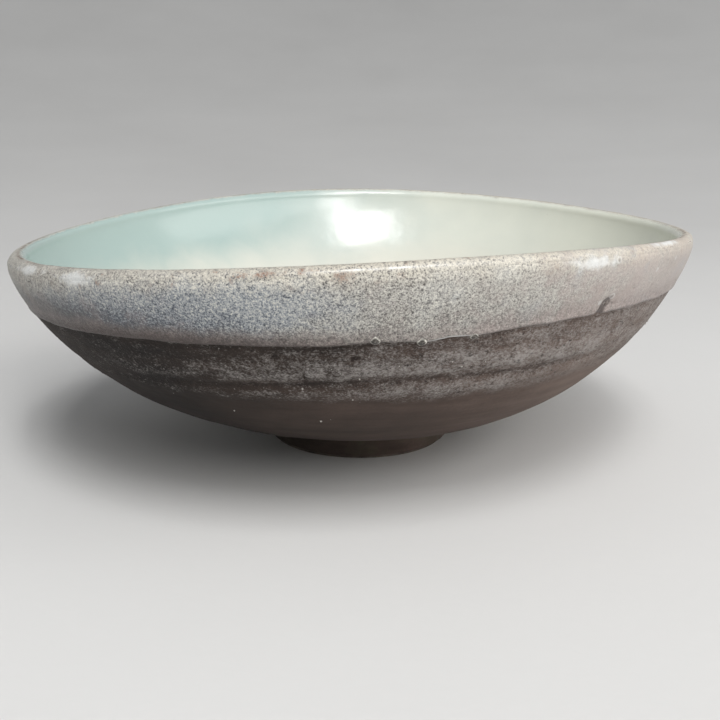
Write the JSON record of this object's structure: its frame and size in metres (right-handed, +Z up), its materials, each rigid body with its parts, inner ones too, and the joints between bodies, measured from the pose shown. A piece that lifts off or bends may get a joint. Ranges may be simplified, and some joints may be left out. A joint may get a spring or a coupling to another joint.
{
  "type": "matcha bowl",
  "caption": "Shallow thrown stoneware tea bowl on a small turned foot, with a pale glaze inside and a grey glazed band round the upper wall.",
  "frame": {"origin": "centre of the foot's flat face, on the surface that the bowl stands on", "axes": "+Z up through the mouth, -Y towards the front, where the two close beads hang, and +X to the right, where the lip stands higher"},
  "size_m": [0.1506, 0.1506, 0.0532],
  "materials": {
    "fired_clay": "matte",
    "foot_clay": "satin",
    "pale_glaze": "gloss",
    "grey_glaze": "satin",
    "glaze_drops": "gloss",
    "white_grit": "matte"
  },
  "bodies": {
    "root": {"clay_body": "fired_clay", "foot_ring": "foot_clay", "inner_glaze": "pale_glaze", "outer_glaze": "grey_glaze", "glaze_beads": "glaze_drops", "kiln_grit": "white_grit"}
  },
  "joints": []
}
